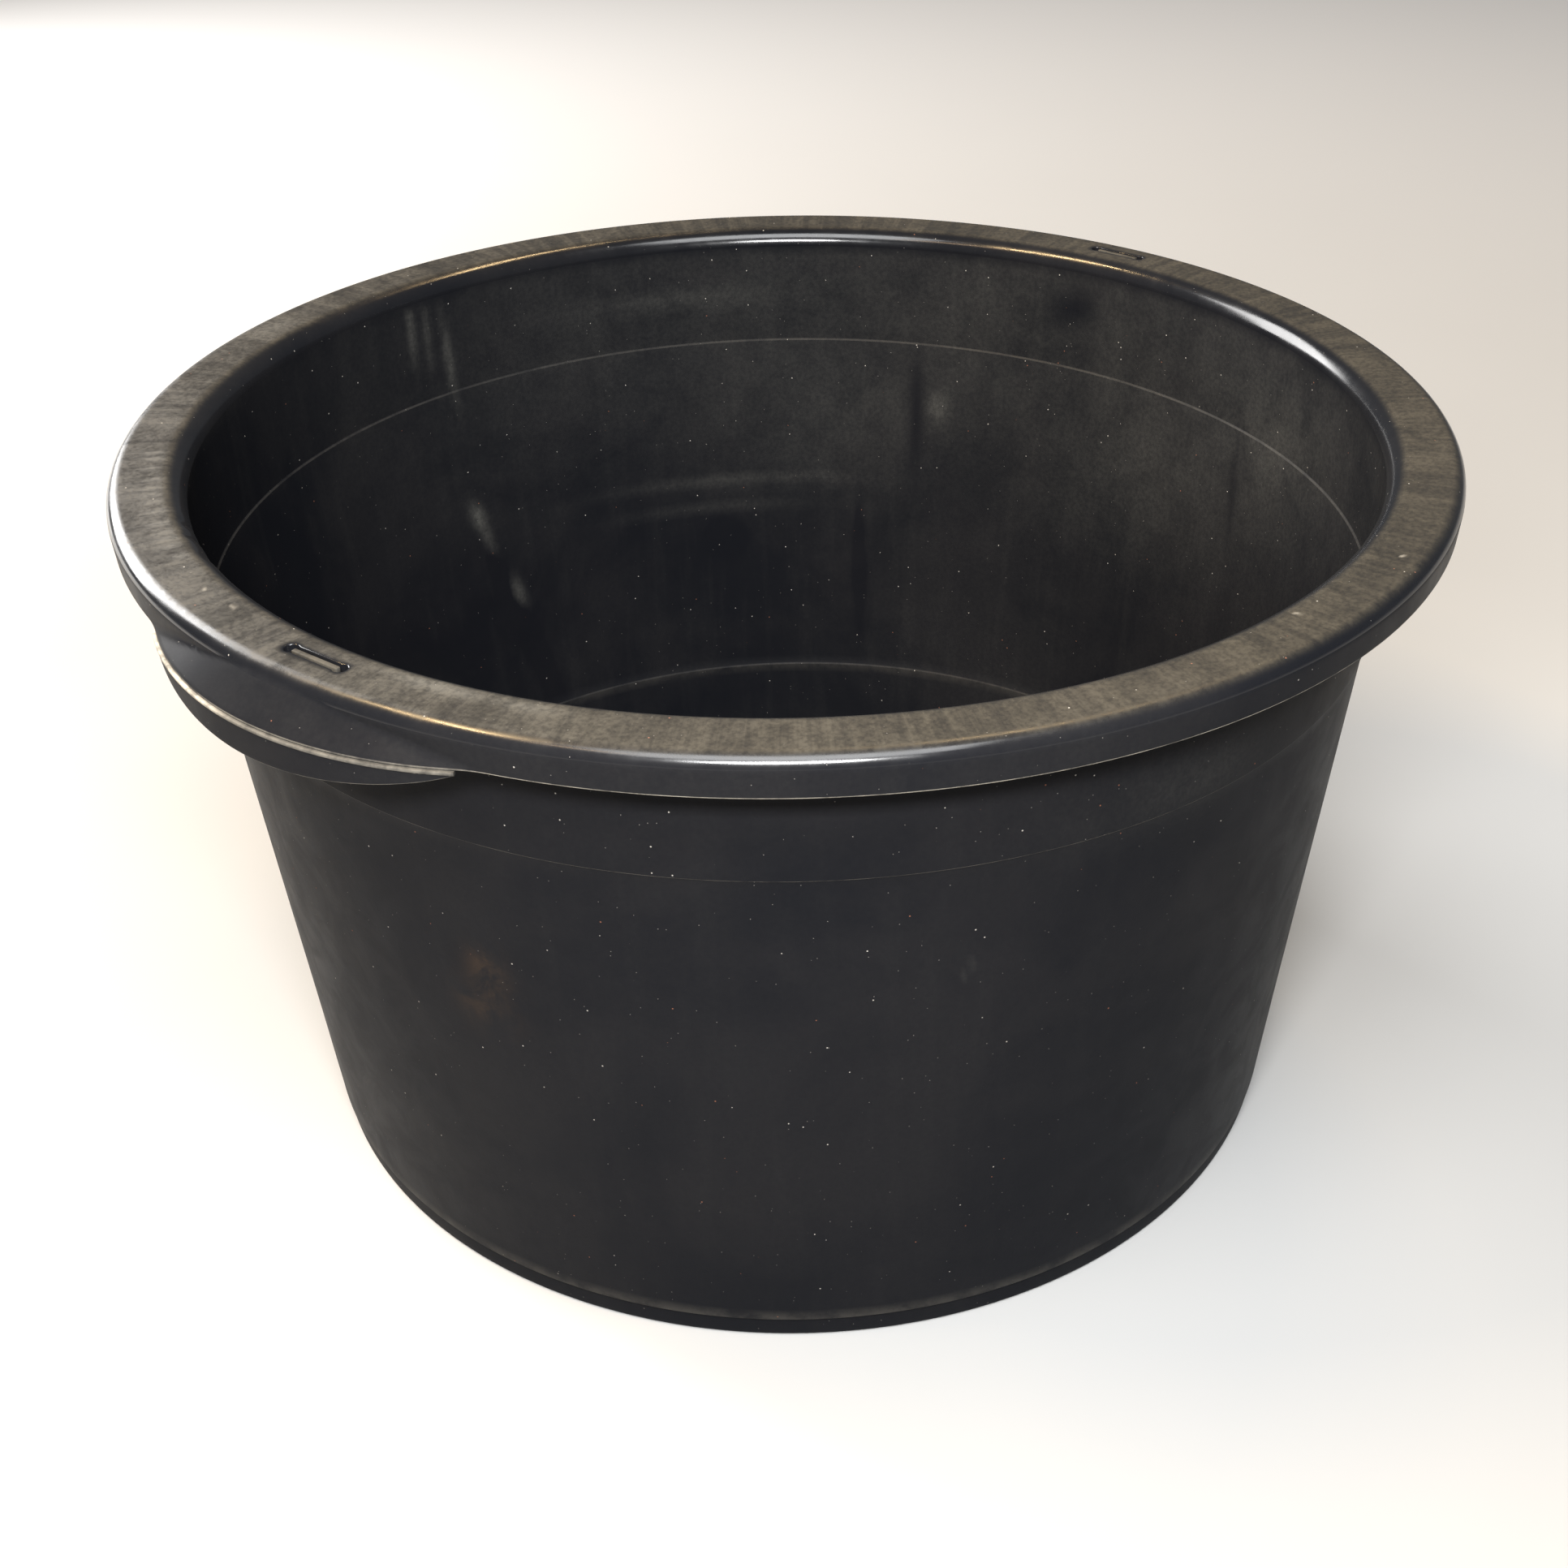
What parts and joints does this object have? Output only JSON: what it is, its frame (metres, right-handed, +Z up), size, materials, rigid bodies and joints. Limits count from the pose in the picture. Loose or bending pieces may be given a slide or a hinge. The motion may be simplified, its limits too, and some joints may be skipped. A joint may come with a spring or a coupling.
{
  "type": "mortar mixing tub",
  "caption": "Round tapered mixing tub with a flat rim flange, a turned-down skirt and a flared crescent grip on each of two opposite sides.",
  "frame": {"origin": "centre of the base, on the surface that the tub stands on", "axes": "+Z up along the tub's axis; the grips lie on the X axis"},
  "size_m": [0.68, 0.65, 0.366],
  "materials": {
    "tub_plastic": "dusty moulded black plastic, satin at the rim",
    "insert_plastic": "moulded black plastic"
  },
  "bodies": {
    "root": {"tub_shell": "tub_plastic", "grip_insert_left": "insert_plastic", "grip_insert_right": "insert_plastic"}
  },
  "joints": []
}
